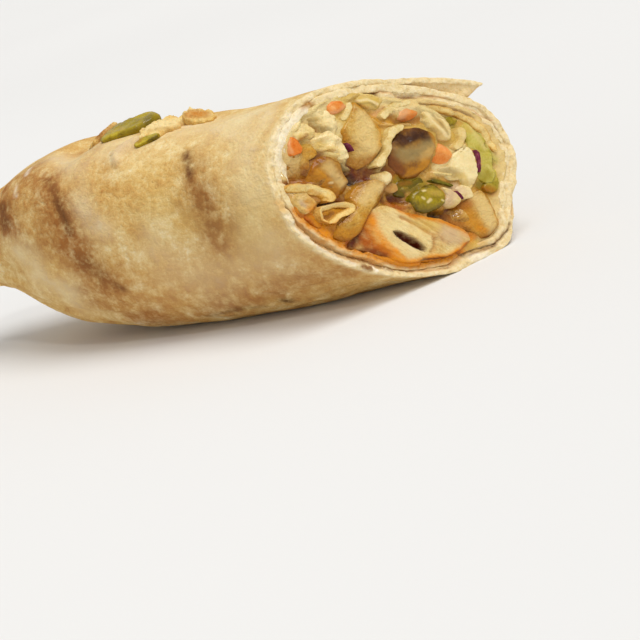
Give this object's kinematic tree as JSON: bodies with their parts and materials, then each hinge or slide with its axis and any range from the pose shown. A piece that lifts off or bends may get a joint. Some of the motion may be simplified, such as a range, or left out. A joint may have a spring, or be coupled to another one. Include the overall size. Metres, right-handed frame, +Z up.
{
  "type": "shish taouk wrap half",
  "caption": "Half of a rolled flatbread wrap with grilled chicken, fries, pickles and slaw, cut on a slant and closed at the other end.",
  "frame": {"origin": "a point in the middle of the flat patch on the underside, where the wrap rests on a surface", "axes": "+X along the roll towards the slanted cut face, +Z up, -Z out of the underside"},
  "size_m": [0.173, 0.0685, 0.0605],
  "materials": {
    "toasted_bread": "dry, floury, toasted in spots",
    "soft_bread": "dry, soft crumb",
    "fried_potato": "fried, slightly oily",
    "browned_potato": "fried, browned skin",
    "grilled_chicken": "moist grilled meat",
    "marinated_chicken": "moist, coated in marinade",
    "carrot": "raw, moist",
    "pickle": "wet and glossy",
    "creamy_slaw": "moist, creamy",
    "white_cabbage": "raw, moist",
    "red_cabbage": "raw, moist",
    "lettuce": "raw, moist",
    "onion": "raw, translucent",
    "herb": "leafy"
  },
  "bodies": {
    "root": {"flatbread": "toasted_bread", "bread_tuck": "toasted_bread", "carrot_left": "carrot", "carrot_top": "carrot", "carrot_right_top": "carrot", "carrot_right": "carrot", "fry_upper_left": "fried_potato", "fry_upper_large": "fried_potato", "fry_left_wedge": "browned_potato", "fry_centre": "fried_potato", "fry_lower_right": "fried_potato", "potato_browned": "browned_potato", "chicken_main": "grilled_chicken", "chicken_scrap": "marinated_chicken", "pickle_front": "pickle", "pickle_back": "pickle", "pickle_right": "pickle", "slaw_left": "creamy_slaw", "slaw_middle": "creamy_slaw", "slaw_upper": "creamy_slaw", "slaw_lump_left": "creamy_slaw", "cabbage_top": "white_cabbage", "cabbage_white_right": "white_cabbage", "cabbage_white_lower": "white_cabbage", "cabbage_purple_left": "white_cabbage", "cabbage_purple_right": "white_cabbage", "lettuce_lower": "lettuce", "onion_lump": "onion", "onion_lower": "onion", "bread_fold_upper": "soft_bread", "bread_fold_middle": "soft_bread", "bread_fold_right": "soft_bread", "cabbage_shred_top": "white_cabbage", "cabbage_shred_middle": "white_cabbage", "cabbage_shred_right": "white_cabbage", "cabbage_ruffle": "white_cabbage", "lettuce_rib": "lettuce", "red_cabbage_rind": "red_cabbage", "red_cabbage_bit_left": "red_cabbage", "red_cabbage_bit_right": "red_cabbage", "herb_leaf": "herb", "pickle_top": "pickle", "pickle_top_small": "pickle", "bread_torn_left": "soft_bread", "bread_torn_right": "soft_bread", "bread_flake_top": "soft_bread"}
  },
  "joints": []
}
